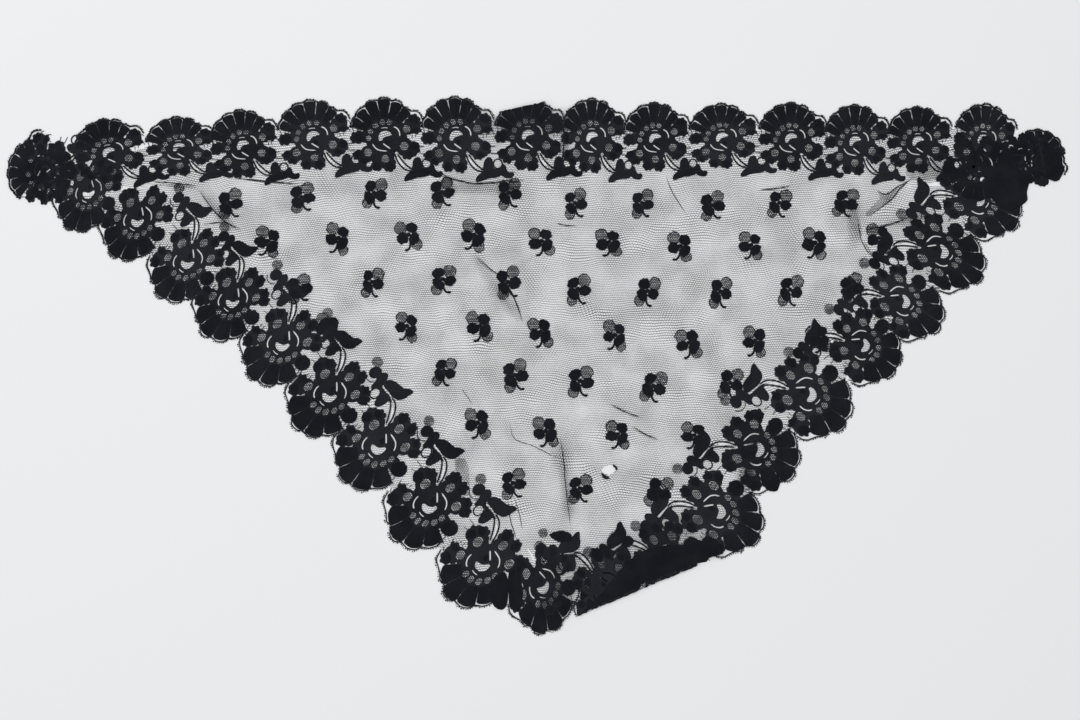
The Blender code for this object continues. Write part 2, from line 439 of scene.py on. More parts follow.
def hexCells(board, across, up):
    # distance from the middle of the nearest six-sided cell: 0 in the middle, 0.5 on its thread
    root = math.sqrt(3)
    ax = (across.maths("FLOORED_MODULO", 1.0)) - 0.5
    ay = (up.maths("FLOORED_MODULO", root)) - root / 2
    bx = ((across - 0.5).maths("FLOORED_MODULO", 1.0)) - 0.5
    by = ((up - root / 2).maths("FLOORED_MODULO", root)) - root / 2
    nearA = (ax * ax + ay * ay).maths("LESS_THAN", bx * bx + by * by)
    x = (bx + (ax - bx) * nearA).maths("ABSOLUTE")
    y = (by + (ay - by) * nearA).maths("ABSOLUTE")
    return x.maths("MAXIMUM", x * 0.5 + y * (root / 2))


# cells in millimetres, threads as a share of a cell, and how far the rows wander, in cells
netLook = {
    "cell": 2.35, "thread": 0.1, "rows": 0.09, "uneven": 0.13, "looseScale": 30.0,
    "bend": 6.0, "bendScale": 19.0, "warp": 0.6, "warpScale": 75.0,
    "halfCell": 1.8, "halfThread": 0.36, "twist": 0.6, "colour": (0.012, 0.013, 0.018, 1.0),
}
bumpDepth = 0.0002


def netMaterial():
    board = Board("silk_net", 0.8, 0.12)
    spot, across, up = cutPlace(board)
    x, y = across * (1 / netLook["cell"]), up * (1 / netLook["cell"])
    for wander in ("bend", "warp"):
        drift = cloudy(board, spot, netLook[wander + "Scale"], 1.0, 1)
        parts = board.add("ShaderNodeSeparateXYZ", inputs=[drift])
        x = x + (parts - 0.5) * netLook[wander]
        y = y + (Wire(board, parts.socket.node.outputs[1]) - 0.5) * netLook[wander]
    cell = hexCells(board, x, y)
    rows = (y * (math.tau * 2 / math.sqrt(3))).maths("COSINE")
    gather = board.add("ShaderNodeAttribute", {"attribute_name": "gather"}, output=2)
    half = board.add("ShaderNodeAttribute", {"attribute_name": "half"}, output=2)
    loose = cloudy(board, spot, netLook["looseScale"], 4.0)
    width = netLook["thread"] + gather - rows * netLook["rows"] + (loose - 0.5) * (netLook["uneven"] * 2)
    inNet = (cell + width * 0.5).maths("GREATER_THAN", 0.5)
    closer = hexCells(board, across * (1 / netLook["halfCell"]), up * (1 / netLook["halfCell"]))
    inHalf = closer.maths("GREATER_THAN", 0.5 - netLook["halfThread"] / 2) * half
    board.feed("Alpha", inNet.maths("MAXIMUM", inHalf))
    twist = {"Strength": netLook["twist"], "Distance": bumpDepth, "Height": cell}
    board.feed("Normal", board.add("ShaderNodeBump", inputs=twist))
    board.feed("Base Color", netLook["colour"])
    return board.material


# the lighter colour gives both the random lighter patches and the painted highlight on the sunk rims
clothLook = {
    "dark": (0.0058, 0.0064, 0.0098, 1.0), "wornAndRimHighlight": (0.030, 0.031, 0.038, 1.0), "rib": 0.75,
    "patchScale": 45.0, "patches": 0.6, "fibreScale": 900.0, "fibres": 0.5, "rims": 1.45, "tops": 1.9,
    "weave": 0.7,
}


def clothMaterial():
    board = Board("dense_clothwork", 0.85, 0.12)
    spot, across, up = cutPlace(board)
    wander = cloudy(board, spot, clothLook["patchScale"], 4.0)
    fine = cloudy(board, spot, clothLook["fibreScale"], 2.0)
    raised = board.add("ShaderNodeAttribute", {"attribute_name": "raised"}, output=2)
    # painted highlight and shade: the sunk rims are painted lighter and the raised tops darker, over random
    # lighter patches
    shade = wander * clothLook["patches"] + fine * clothLook["fibres"] + clothLook["rims"]
    shade = shade - raised * clothLook["tops"]
    colour = board.add(
        "ShaderNodeMix", {"data_type": "RGBA"},
        {"Factor": shade, "A": clothLook["dark"], "B": clothLook["wornAndRimHighlight"]}, 2,
    )
    board.feed("Base Color", colour)
    turn = math.tau / clothLook["rib"]
    rib = (across * turn).maths("SINE") * (up * turn).maths("SINE")
    weave = {"Strength": clothLook["weave"], "Distance": bumpDepth, "Height": rib + fine}
    board.feed("Normal", board.add("ShaderNodeBump", inputs=weave))
    return board.material


def threadMaterial():
    board = Board("outline_thread", 0.7, 0.18)
    board.feed("Base Color", (0.0078, 0.0084, 0.0115, 1.0))
    return board.material


silkNet, denseCloth, outlineThread = netMaterial(), clothMaterial(), threadMaterial()
print("lace shawl: materials made")


def finishPiece(name, bm, material, slot, *nodes, shift=0.0):
    # keeps the cut's coordinates, lays the cloth down, and makes the object
    uv = bm.loops.layers.uv.new("cut")
    gather = bm.verts.layers.float.new("gather")
    half = bm.verts.layers.float.new("half")
    raised = bm.verts.layers.float.new("raised")
    for face in bm.faces:
        for loop in face.loops:
            loop[uv].uv = ((loop.vert.co.x + shift) * mm, (loop.vert.co.y + shift) * mm)
    for vert in bm.verts:
        x, y, lift = vert.co
        if material is not silkNet:
            # the height of the dense work; the cloth material paints a highlight on low rims and paints
            # shade on high tops from it
            vert[raised] = min(lift / relief["lobe"][1], 1.0)
        elif abs(lift - halfLift) < 0.01:
            vert[half] = 1.0
        else:
            vert[gather] = gathering(x, y)
        vert.co = lie(x, y, lift)
    mesh = bpy.data.meshes.new(name)
    bm.to_mesh(mesh)
    bm.free()
    mesh.materials.append(material)
    piece = bpy.data.objects.new(name, mesh)
    bpy.context.scene.collection.objects.link(piece)
    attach(piece, "root")
    if nodes:
        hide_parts(*nodes)
    return piece


# drawn once, its fan upwards, on a scallop of radius 38.5; every border flower is this one turned
flower = {
    "body": [
        (22.5, 1.2), (27, 3.0), (32, 2.8), (35.8, 4.6), (36.6, 8.4), (35.0, 11.4), (36.0, 16.2),
        (33.4, 21.2), (27.6, 23.4), (20.8, 17.8), (17.6, 14.0), (17.4, 17.6), (13.6, 21), (7.4, 23.6),
        (0, 24.6), (-8, 23.6), (-14.6, 20.6), (-19.4, 16.6), (-21.6, 13), (-21.2, 10.4), (-19.6, 8.2),
        (-22, 6.6), (-27, 6.4), (-31.6, 4.6), (-34, 0.8), (-33.6, -3.8), (-30, -6.8), (-24, -6.4),
        (-18.2, -4.6), (-19.0, -8), (-24.6, -11.4), (-29.6, -13), (-32, -16.6), (-30.2, -20.8),
        (-26.6, -22.8), (-24, -26), (-19, -26.8), (-15, -24.8), (-12.8, -21.6), (-13.6, -25.4),
        (-12.8, -30), (-9.2, -32.8), (-4.8, -32.8), (-1.6, -30.4), (1.6, -33.2), (6.6, -33.8),
        (10.6, -31), (12, -25.4), (10.2, -19), (10.4, -15), (13.4, -15), (16, -18.4), (20, -21.4),
        (25.4, -21.4), (28.6, -18.8), (32.2, -17.2), (35, -13.2), (35, -8.4), (32.4, -4.8), (28.8, -2.8),
        (24, -1.2),
    ],
    "bumps": (6.4, 1.3),  # pitch and depth of the small bumps round the body
    "fan": [(-64, 34.2), (-45, 35.4), (-23, 36.2), (-1, 36.8), (21, 36.2), (41, 34.8)],
    "wideFan": [(-58, 34.8), (-28, 36.2), (3, 36.8), (34, 35.6)],
    "fanSides": (-73, 50),
    "dots": [
        (21.4, 8, 3.9), (19.4, -8.4, 4.3), (-16.2, -14.6, 4.1), (0.8, -20.6, 4.0), (-15.6, -0.6, 2.8),
        (-13.6, 5.8, 2.8), (-8.8, 11.4, 2.9), (-2.2, 14.6, 2.9), (4.8, 14.6, 2.8),
    ],
    "crescent": [
        (-5.2, -3.0), (-5.8, 0.4), (-4.6, 3.8), (-2, 5.8), (2, 6.3), (5.4, 5.0), (7.0, 2.6), (4.4, 1.6),
        (1.4, 1.0), (-1.2, -0.6), (-2.8, -3.2),
    ],
    "slits": [
        ([(-11.8, -6), (-9.2, -9.8), (-5, -12.2), (3, -13.2)], 1.1),
        ([(-1.6, -5.6), (1.6, -8), (6, -11)], 1.2),
        ([(8.8, 10.4), (12.2, 8.8), (14.6, 5.2), (15, 1.2)], 1.2),
        ([(-3.4, 8.8), (0, 9.4), (3.6, 9)], 0.8),
    ],
    "opening": ([(11.8, -18.4), (14.8, -23), (20.4, -28.4)], 1.4),
    "lobes": [
        (30, 7.0, 5.0, 3.2, 10), (28.6, 17.0, 6.0, 4.4, -24), (29.4, -8.6, 5, 4.6, 20),
        (24.4, -16.2, 5, 3.6, -10), (-25.6, -16, 4.8, 4.2, 30), (-20.4, -22.2, 4.4, 3.4, -20),
        (-7.6, -27, 4.4, 4.6, 0), (5.2, -27.8, 4.8, 4.8, 0), (2.8, -4.6, 3.4, 2.6, -40),
    ],
    "lobeSides": 14,
    "sideLobe": (-26, -0.2, 6.4, 5.4, 0),
    "wideLobe": (-27.5, 0.2, 8.0, 6.4, 10),
    "brides": [
        [(35.5, 15.6), (33.4, 13.4)], [(30.4, 0.2), (30.6, 2.8)], [(27, -1), (27.2, 2.6)],
        [(33.4, 20.4), (31, 17)], [(-26.4, 5.6), (-26.6, 10)], [(-30, 4), (-31.4, 9.6)],
        [(-23, 6), (-23, 9.6)],
    ],
    "links": [
        [(35.5, 15.6), (38.2, 12.6)], [(35, -9), (39, -8.4)], [(34, -15), (41, -15.6)],
        [(36, 7), (37.4, 3)],
    ],
}
twig = {
    "stems": [
        [(10, -15), (12.2, -21.5), (16.2, -27.6), (21.6, -31.4), (28, -32.4)],
        [(12.4, -15.4), (16.2, -20.8), (20.8, -26), (25.6, -29.6), (30, -31)],
    ],
    "upright": [
        (41.4, -32.6), (38, -31.9), (30, -31.9), (24, -30.2), (27, -28.6), (27.4, -24.4), (29, -20.6),
        (32.6, -18.6), (35.6, -20.6), (36.6, -25), (37.6, -28.8), (41, -29.8), (44.4, -28.6),
        (46.2, -25.4), (48.6, -26.6),
    ],
    "drooping": [(49.6, -31.4), (51.4, -35.4), (50.8, -40.2), (46.8, -42), (43, -39)],
    "hooked": [
        (49.8, -30.4), (52.6, -33), (55.4, -32.4), (57.2, -34.4), (55.4, -38), (50.4, -38.6), (45, -36.2),
    ],
    "bar": [
        (41.8, -34), (42.8, -38), (39, -41.8), (32, -43.2), (26.6, -43.8), (22.4, -46.6), (17.4, -47.4),
        (18, -42.6), (18.6, -38.4), (22, -34.6), (28, -32.8), (34, -33.2),
    ],
    "shortBar": [
        (43.6, -31.0), (45.0, -35.4), (39.6, -38.0), (32, -38.8), (26, -41), (20.4, -42.4), (19.8, -38.4),
        (23.4, -34.2), (28, -31.4), (36, -30.6),
    ],
    "round": [
        (50.6, -34.2), (54, -30.8), (58.8, -31.2), (61.4, -35), (59.4, -39.4), (54.4, -40.8),
        (50.6, -38.8), (49.6, -36),
    ],
    "slit": ([(28, -32.8), (33, -33), (40, -32.9)], 0.9),
    "eyelet": (41.2, -25, 4.4),
    "eyeletSides": 14,
    "arc": [(49.6, -30.6), (52.8, -28), (58.4, -28), (62.6, -31.4)],
    "halfLeaf": (61.8, -42.2, 5.6),
}


def spacing(row, i):
    # how far apart the neighbours of a flower stand
    gaps = [math.dist(row[k][:2], row[k + 1][:2]) for k in (i - 1, i) if 0 <= k < len(row) - 1]
    return sum(gaps) / len(gaps)


def outwards(row, i, side):
    # the way out of the shawl at a flower, as the turn of its fan from straight up
    a, b = row[max(i - 1, 0)], row[min(i + 1, len(row) - 1)]
    travel = math.atan2(b[1] - a[1], b[0] - a[0])
    return travel if side > 0 else travel + math.pi


# the flower is drawn for a row this far apart and this deep, and is widened and lengthened only so far
flowerFit = {"apart": 70, "widest": 1.05, "reach": 37.5, "longest": 1.32}


def flowerPlaces(row, side, longer, turned):
    # turned holds the flowers at the tips, which face more to the side
    return [
        placer(
            x, y, turned.get(i, outwards(row, i, side)),
            min(spacing(row, i) / flowerFit["apart"], flowerFit["widest"]),
            min((reach + longer) / flowerFit["reach"], flowerFit["longest"]),
        )
        for i, (x, y, reach) in enumerate(row)
    ]


def fanWay(angle, u, v):
    # from along a petal to the flower: u across the petal, v outwards
    c, s = math.cos(math.radians(angle)), math.sin(math.radians(angle))
    return (u * c + v * s, v * c - u * s)


# a fan petal: its root, the rows its sides pass through, how wide the gap beside it gets and where it opens,
# how far inside the tip it turns in, and how much the tips differ
petalShape = {
    "root": 17.6, "rows": (18.4, 22.0, 27.0, 30.0), "gap": (0.1, 0.65), "gapFrom": 22, "gapOver": 12,
    "shoulder": 14, "brow": 4.9, "browWidth": 0.62, "longer": (-0.2, 0.8),
}


def fanPetal(angle, tip, before, after, rng):
    # long rounded petal that fills its share of the fan; the gaps beside it open only near the tips
    shape = [(0.0, petalShape["root"])]
    for turn, side in ((after - angle, 1), (angle - before, -1)):
        spread = math.tan(math.radians(turn))
        gap = rng.uniform(*petalShape["gap"])
        shoulder, brow = tip - petalShape["shoulder"] * spread, tip - petalShape["brow"] * spread
        half = []
        for v in (*petalShape["rows"], shoulder):
            opening = gap * smooth((v - petalShape["gapFrom"]) / petalShape["gapOver"])
            half.append((side * (v * spread - opening), v))
        half.append((side * brow * spread * petalShape["browWidth"], brow))
        shape = shape + half + [(0.0, tip)] if side > 0 else shape + half[::-1]
    return [fanWay(angle, u, v) for u, v in shape]


def fanPetals(fan, rng):
    turns = [angle for angle, _ in fan]
    first, last = flower["fanSides"]
    sides = [first] + [(a + b) / 2 for a, b in zip(turns, turns[1:])] + [last]
    return [
        fanPetal(angle, tip + rng.uniform(*petalShape["longer"]), a, b, rng)
        for (angle, tip), a, b in zip(fan, sides, sides[1:])
    ]


# the dips and bumps of the outline thread: degrees shared by the petals, and how far outside them it runs
edgeLine = {
    "start": (-35.3, 11.6), "dip": 57, "dipOut": 1.6, "dipDepth": 0.24, "bump": 24, "bumpOut": 1.0,
    "end": [(31.6, 25.0), (35.6, 21.2), (37.6, 15.0)],
}


def outerEdge(fan):
    # the line of the outline thread, from one valley round the tips of the fan to the next
    line = [edgeLine["start"]]
    dip, bump = edgeLine["dip"] / len(fan), edgeLine["bump"] / len(fan)
    for angle, tip in fan:
        line.append(fanWay(angle - dip, 0, tip + edgeLine["dipOut"] - dip * edgeLine["dipDepth"]))
        over = tip + edgeLine["bumpOut"]
        line += [fanWay(angle - bump, 0, over), fanWay(angle + bump, 0, over)]
    return line + edgeLine["end"]


# how far the points of an outline stray, in millimetres
wobble = {"body": 0.3, "bump": 0.15, "part": 0.2, "fold": 0.25}


def ragged(points, rng, amount):
    return [(x + rng.uniform(-amount, amount), y + rng.uniform(-amount, amount)) for x, y in points]


def workFlower(bm, place, fan, rng):
    holes = [rounded(flower["crescent"], 2)]
    holes += [circleLine(x, y, radius) for x, y, radius in flower["dots"]]
    holes += [slitLine(points, width) for points, width in flower["slits"]]
    body = rounded(ragged(flower["body"], rng, wobble["body"]), 2)
    outline = ragged(scalloped(body, *flower["bumps"]), rng, wobble["bump"])
    openings = [moved(place, hole) for hole in clearHoles(outline, holes)]
    raiseShape(bm, moved(place, outline), "body", openings)
    for petal in fanPetals(fan, rng):
        petal = ragged(rounded(ragged(petal, rng, wobble["part"]), 2), rng, wobble["part"])
        raiseShape(bm, moved(place, petal), "petal")
    sideLobe = flower["wideLobe" if fan is flower["wideFan"] else "sideLobe"]
    for x, y, long, short, turn in [*flower["lobes"], sideLobe]:
        c, s = math.cos(math.radians(turn)), math.sin(math.radians(turn))
        angles = [math.tau * k / flower["lobeSides"] for k in range(flower["lobeSides"])]
        ring = [(long * math.cos(angle), short * math.sin(angle)) for angle in angles]
        line = [(x + c * u - s * v, y + s * u + c * v) for u, v in ring]
        raiseShape(bm, moved(place, line), "lobe")


def workTwig(bm, place, rng, lush):
    # a lush twig, on the two sides, has one leaf more than one on the long edge
    upright = twig["upright"] + twig["drooping" if lush else "hooked"]
    for k, leaf in enumerate([upright] + ([twig["bar"], twig["round"]] if lush else [twig["shortBar"]])):
        leaf = ragged(rounded(leaf, 2), rng, wobble["part"])
        raiseShape(bm, moved(place, leaf), "leaf", higher=stagger["leaf"] * k)


# width of each kind of thread and its height off the net, in millimetres
threads = {
    "edge": (1.2, 0.3), "bride": (0.7, 0.25), "stem": (1.6, 0.3), "arc": (0.9, 0.3), "eyelet": (1.4, 0.3),
    "sprigStem": (2.1, 0.34), "sprigStemEnd": (3.0, 0.36), "ring": (0.8, 0.24),
}
# picots: their places along a step of the edge, how far outside it they stand, and their size
picot = {"shares": (0.0, 0.25), "out": (0.6, 1.3), "sides": 5, "radius": (0.5, 0.95)}
brideShares = (0, 0.05, 0.5, 0.95, 1)


def workThreads(bm, place, fan, rng, withTwig, lush):
    edge = rounded(outerEdge(fan), 2, closed=False)
    thread(bm, moved(place, ragged(edge, rng, wobble["part"])), *threads["edge"])
    for (ax, ay), (x, y), (bx, by) in zip(edge, edge[1:], edge[2:]):
        length = math.hypot(bx - ax, by - ay)
        for share in picot["shares"]:
            out = rng.uniform(*picot["out"])
            u, v = x + (bx - ax) * share, y + (by - ay) * share
            corner = place((u - (by - ay) / length * out, v + (bx - ax) / length * out))
            radius = rng.uniform(*picot["radius"])
            made = bmesh.ops.create_circle(bm, cap_ends=True, segments=picot["sides"], radius=radius)
            bmesh.ops.translate(bm, verts=made["verts"], vec=(corner[0], corner[1], threads["edge"][1]))
    for bride in flower["brides"] + (flower["links"] if withTwig else []):
        (ax, ay), (bx, by) = bride
        line = [(ax + (bx - ax) * t, ay + (by - ay) * t) for t in brideShares]
        thread(bm, moved(place, line), *threads["bride"])
    if withTwig:
        for stem in twig["stems"]:
            thread(bm, moved(place, rounded(stem, 3, closed=False)), *threads["stem"])
        if lush:
            thread(bm, moved(place, rounded(twig["arc"], 3, closed=False)), *threads["arc"])
        x, y, radius = twig["eyelet"]
        ring = circleLine(x, y, radius, twig["eyeletSides"])
        thread(bm, moved(place, ring), *threads["eyelet"], closed=True)


def valley(first, second):
    # where two neighbouring scallops meet, on the right of the way from first to second
    apart = math.dist(first[:2], second[:2])
    dx, dy = (second[0] - first[0]) / apart, (second[1] - first[1]) / apart
    along = (first[2] ** 2 - second[2] ** 2 + apart ** 2) / (2 * apart)
    out = math.sqrt(max(first[2] ** 2 - along ** 2, 0.0))
    return (first[0] + dx * along + dy * out, first[1] + dy * along - dx * out)


# the net under the border, how finely it is divided, and the cuts along rolls and creases
groundLook = {
    "inside": 0.64, "grid": 9.0, "arcSteps": 8, "drawnIn": 11.0,
    "dotOver": 0.5, "dotSides": 12, "rollSteps": 6, "rollReach": 12,
    "creaseShares": (-0.5, -0.3, -0.15, 0.0, 0.15, 0.3, 0.5),
}


def groundEdge(row, start, end):
    # the net's outer edge under the flowers, anticlockwise round the shawl
    meets = [start] + [valley(a, b) for a, b in zip(row, row[1:])] + [end]
    line = []
    for (x, y, reach), before, after in zip(row, meets, meets[1:]):
        first = math.atan2(before[1] - y, before[0] - x)
        sweep = (math.atan2(after[1] - y, after[0] - x) - first) % math.tau
        shorter = 1 - groundLook["drawnIn"] / reach
        line.append((x + (before[0] - x) * shorter, y + (before[1] - y) * shorter))
        for k in range(1, groundLook["arcSteps"]):
            angle = first + sweep * k / groundLook["arcSteps"]
            size = reach * groundLook["inside"]
            line.append((x + size * math.cos(angle), y + size * math.sin(angle)))
    line.append((x + (after[0] - x) * shorter, y + (after[1] - y) * shorter))
    return line


def cutAlong(bm, faces, x, y, nx, ny):
    parts = set(faces)
    for face in faces:
        parts.update(face.edges)
        parts.update(face.verts)
    bmesh.ops.bisect_plane(bm, geom=list(parts), dist=1e-4, plane_co=(x, y, 0), plane_no=(nx, ny, 0))


def nearFaces(bm, line, reach):
    near = []
    for face in bm.faces:
        middle = face.calc_center_median()
        along, across, length, _ = alongLine(line, middle.x, middle.y)
        if abs(across) < reach and -reach < along < length + reach:
            near.append(face)
    return near


def gridCuts(bm):
    for axis in (0, 1):
        values = [vert.co[axis] for vert in bm.verts]
        step = groundLook["grid"]
        for k in range(math.ceil(min(values) / step), math.floor(max(values) / step) + 1):
            spot = [0.0, 0.0]
            spot[axis] = (k + 0.5) * step
            cutAlong(bm, bm.faces[:], spot[0], spot[1], 1 - axis, axis)


def foldCuts(bm):
    for turning in turnings:
        _, _, _, side = alongLine(turning, 0, 0)
        for k in range(groundLook["rollSteps"] + 1):
            shift = math.pi * cloth["rollRadius"] * k / groundLook["rollSteps"]
            near = nearFaces(bm, turning, groundLook["rollReach"])
            cutAlong(bm, near, turning[0] + side[0] * shift, turning[1] + side[1] * shift, *side)
    for crease in broadCreases + fineCreases:
        _, _, _, side = alongLine(crease, 0, 0)
        for share in groundLook["creaseShares"]:
            shift = crease[5] * share
            near = nearFaces(bm, crease, groundLook["grid"] * 0.75)
            cutAlong(bm, near, crease[0] + side[0] * shift, crease[1] + side[1] * shift, *side)


def keepBetween(bm, low, high):
    # keeps the part of a panel between two upright lines
    for x, way in ((low, -1), (high, 1)):
        if x is not None:
            bmesh.ops.bisect_plane(
                bm, geom=bm.verts[:] + bm.edges[:] + bm.faces[:], dist=1e-4,
                plane_co=(x, 0, 0), plane_no=(way, 0, 0), clear_outer=True,
            )


def cutArea(bm):
    return sum(face.calc_area() for face in bm.faces) * mm * mm


def netPanel(name, outline, holes, dots, low, high, node, runs):
    bm = bmesh.new()
    fillShape(bm, outline, holes)
    keepBetween(bm, low, high)
    gridCuts(bm)
    foldCuts(bm)
    bmesh.ops.remove_doubles(bm, verts=bm.verts[:], dist=0.02)
    area = cutArea(bm)
    c, s = math.cos(math.radians(runs)), math.sin(math.radians(runs))
    along = [vert.co.x * c + vert.co.y * s for vert in bm.verts]
    across = [vert.co.y * c - vert.co.x * s for vert in bm.verts]
    flat = ((max(along) - min(along)) * mm, (max(across) - min(across)) * mm)
    for x, y, radius in dots:
        if (low is None or x >= low) and (high is None or x < high):
            fillShape(bm, circleLine(x, y, radius, groundLook["dotSides"]), height=halfLift)
    piece = finishPiece(name, bm, silkNet, "net", node)
    sides = [round(side, 3) for side in flat]
    print("  ", name, len(piece.data.polygons), "faces", round(area, 4), "m2 of", sides)
    return piece, flat, area


def groundHoles(place, withTwig):
    # the places in a flower where no net is left
    slits = [*flower["slits"], flower["opening"]] + ([twig["slit"]] if withTwig else [])
    return [moved(place, slitLine(points, width)) for points, width in slits]


topPlaces = flowerPlaces(topFlowers, 1, 0, {0: 1.2, 15: -0.9})
leftPlaces = flowerPlaces(leftFlowers, -1, 6, {})
rightPlaces = flowerPlaces(rightFlowers, 1, 6, {})
noTwigs = {"top": [14, 15], "left": [0, 1], "right": [9]}

leftMitre = valley(topFlowers[0], leftFlowers[0])
pointMitre = valley(leftFlowers[-1], rightFlowers[-1])
rightMitre = valley(rightFlowers[0], topFlowers[-1])

# where the lace lies folded on itself and shows nearly solid: the outline of each part
foldedOver = {
    "top": [
        [(500, 233), (506, 231), (511, 223), (521, 214), (527, 201), (527, 190), (521, 183), (514, 185),
         (505, 189), (499, 200), (498, 220)],
        [(452, 196), (466, 199), (482, 195), (493, 185), (491, 172), (491.5, 164), (484, 158),
         (474, 154.5), (463, 158), (455, 168), (450, 182)],
    ],
    "left": [
        [(-45, -222), (-40, -211), (-30, -208), (-27, -222), (-29, -241), (-36, -245), (-43, -239)],
        [(-26.6, -208), (-18, -206), (-13, -222), (-14, -240), (-19, -246), (-26, -242), (-26.6, -226)],
    ],
    "right": [
        [(68, -226), (80, -210), (101, -190), (125, -181), (158, -183), (170, -193.5), (140, -205.5),
         (109, -218), (84, -231), (64, -239), (47, -247)],
        [(229, -109), (243, -111), (242, -126), (230, -124)],
        [(148, -180), (156, -173), (166, -176), (174, -172), (183, -178), (185, -189), (177, -191.5),
         (168, -194.5), (158, -191)],
        [(14, -170), (24, -166), (35, -169), (35, -176), (22, -177)],
        [(86, -174), (93, -171), (98, -176), (94, -182), (87, -181)],
    ],
}
# flowers of the folded part that show beside or over the row at the tips: centre x, y, turn and size
foldedFlowers = {
    "top": [(-490, 194, -1.4, 0.82), (444, 198, 2.7, 0.95), (486, 206, -2.4, 0.74)], "left": [], "right": [],
}
extraDots = {"top": [], "left": [], "right": [(7.5, -168.5, 5.0), (79.4, -172, 6.0)]}

borders = {
    "top": {
        "places": topPlaces, "node": "border_top", "splits": [None, -190, 150, None], "runs": 0,
        "outline": groundEdge(topFlowers[::-1], rightMitre, leftMitre) + topSeam,
    },
    "left": {
        "places": leftPlaces, "node": "border_left", "splits": [None, -215, None], "runs": -45,
        "outline": groundEdge(leftFlowers, leftMitre, pointMitre) + leftSeam[::-1],
    },
    "right": {
        "places": rightPlaces, "node": "border_right", "splits": [None, 225, None], "runs": 49,
        "outline": groundEdge(rightFlowers[::-1], pointMitre, rightMitre) + rightSeam,
    },
}
for side, border in borders.items():
    rng = random.Random(side)
    holes, dots = [], []
    work, edging = bmesh.new(), bmesh.new()
    fan = flower["fan" if side == "top" else "wideFan"]
    for i, place in enumerate(border["places"]):
        hasTwig = i not in noTwigs[side]
        holes += groundHoles(place, hasTwig)
        dots += [(*place((x, y)), radius + groundLook["dotOver"]) for x, y, radius in flower["dots"]]
        one = bmesh.new()
        workFlower(one, place, fan, rng)
        if hasTwig:
            workTwig(one, place, rng, side != "top")
        if hasTwig and side != "top":
            dots.append((*place(twig["halfLeaf"][:2]), twig["halfLeaf"][2]))
        joinInto(work, one, stagger["flower"] * (i % 2))
        one = bmesh.new()
        workThreads(one, place, fan, rng, hasTwig, side != "top")
        joinInto(edging, one)
    for k, (x, y, turn, size) in enumerate(foldedFlowers[side]):
        one = bmesh.new()
        workFlower(one, placer(x, y, turn, size, size), fan, rng)
        joinInto(work, one, stagger["overStart"] + stagger["over"] * k)
    one = bmesh.new()
    for k, outline in enumerate(foldedOver[side]):
        outline = ragged(rounded(outline, 3), rng, wobble["body"])
        raiseShape(one, outline, "folded", higher=stagger["folded"] * k)
    joinInto(work, one)
    dots += extraDots[side]
    clothwork = finishPiece(f"border_{side}_flowers", work, denseCloth, "clothwork", border["node"])
    edge = finishPiece(f"border_{side}_threads", edging, outlineThread, "clothwork", border["node"])
    print("  ", side, len(clothwork.data.polygons), len(edge.data.polygons))
    splits = border["splits"]
    openings = clearHoles(border["outline"], holes)
    for k, (low, high) in enumerate(zip(splits, splits[1:])):
        piece, flat, area = netPanel(
            f"border_{side}_ground_{k + 1}", border["outline"], openings, dots, low, high,
            border["node"], border["runs"],
        )
        [clothwork, edge] if k == 0 else []
print("lace shawl: border made")


tear = (72.5, -105.5)
tearEdge = [(-6.6, -0.8), (-4.2, 2.8), (0, 4.6), (5, 4.2), (7, 0.6), (4.6, -3.2), (1, -4.8), (-3, -3.8)]
tearHole = [(tear[0] + x, tear[1] + y) for x, y in rounded(tearEdge, 2)]
fieldOutline = leftSeam + rightSeam[::-1][1:] + topSeam[::-1][1:-1]

sprigs = [
    [(-305, 160), (-233, 166), (-161, 170), (-93, 171), (-26, 170), (40, 160), (107, 160), (177, 158),
     (244, 160), (310, 161)],
    [(-268, 122), (-198, 125), (-127, 128), (-62, 128), (6, 122), (73, 121), (144, 117), (215, 118),
     (279, 120), (343, 125)],
    [(-236, 75), (-163, 81), (-92, 84), (-27, 81), (43, 74), (112, 72), (185, 71), (255, 73), (316, 75)],
    [(-208, 35), (-129, 37), (-56, 37), (5, 31), (79, 28), (153, 20), (219, 22), (283, 25)],
    [(-91, -8), (-20, -12), (45, -18), (118, -23), (195, -20)],
    [(-58, -60), (10, -68), (82, -71), (158, -72)],
    [(-22, -120), (45, -125), (123, -128)],
]
# a sprig leaning right: dense ovals, half-worked ovals, then the stem and how much the sprigs differ
sprigShape = {
    "dense": [(-4.9, 7.8, 6.3, 5.5, 30), (-5.2, -3.4, 7.2, 5.3, -52), (6.3, -0.6, 6.5, 5.6, 10)],
    "half": [(6.2, 9.6, 6.3), (-7.2, -9.2, 5.2)],
    "heart": (-0.4, 1.6, 2.6, 2.2, 0),
    "stem": [(-0.6, -1), (-0.6, -6), (0.6, -10), (3.4, -12.8), (7, -12.4)],
    "stemEnd": [(2.6, -12.4), (4.8, -12.9), (7.6, -12.3)],
    "sides": 22, "long": (0.94, 1.06), "short": (0.92, 1.06), "rough": (-0.13, 0.1),
    "turn": (-0.22, 0.22), "wide": (0.88, 1.04), "tall": (0.92, 1.06),
}


def sprigOval(u, v, long, short, turn, rng):
    c, s = math.cos(math.radians(turn)), math.sin(math.radians(turn))
    long, short = long * rng.uniform(*sprigShape["long"]), short * rng.uniform(*sprigShape["short"])
    ring = []
    for k in range(sprigShape["sides"]):
        a = math.tau * k / sprigShape["sides"]
        rough = 1 + rng.uniform(*sprigShape["rough"])
        p, q = long * math.cos(a) * rough, short * math.sin(a) * rough
        ring.append((u + c * p - s * q, v + s * p + c * q))
    return ring


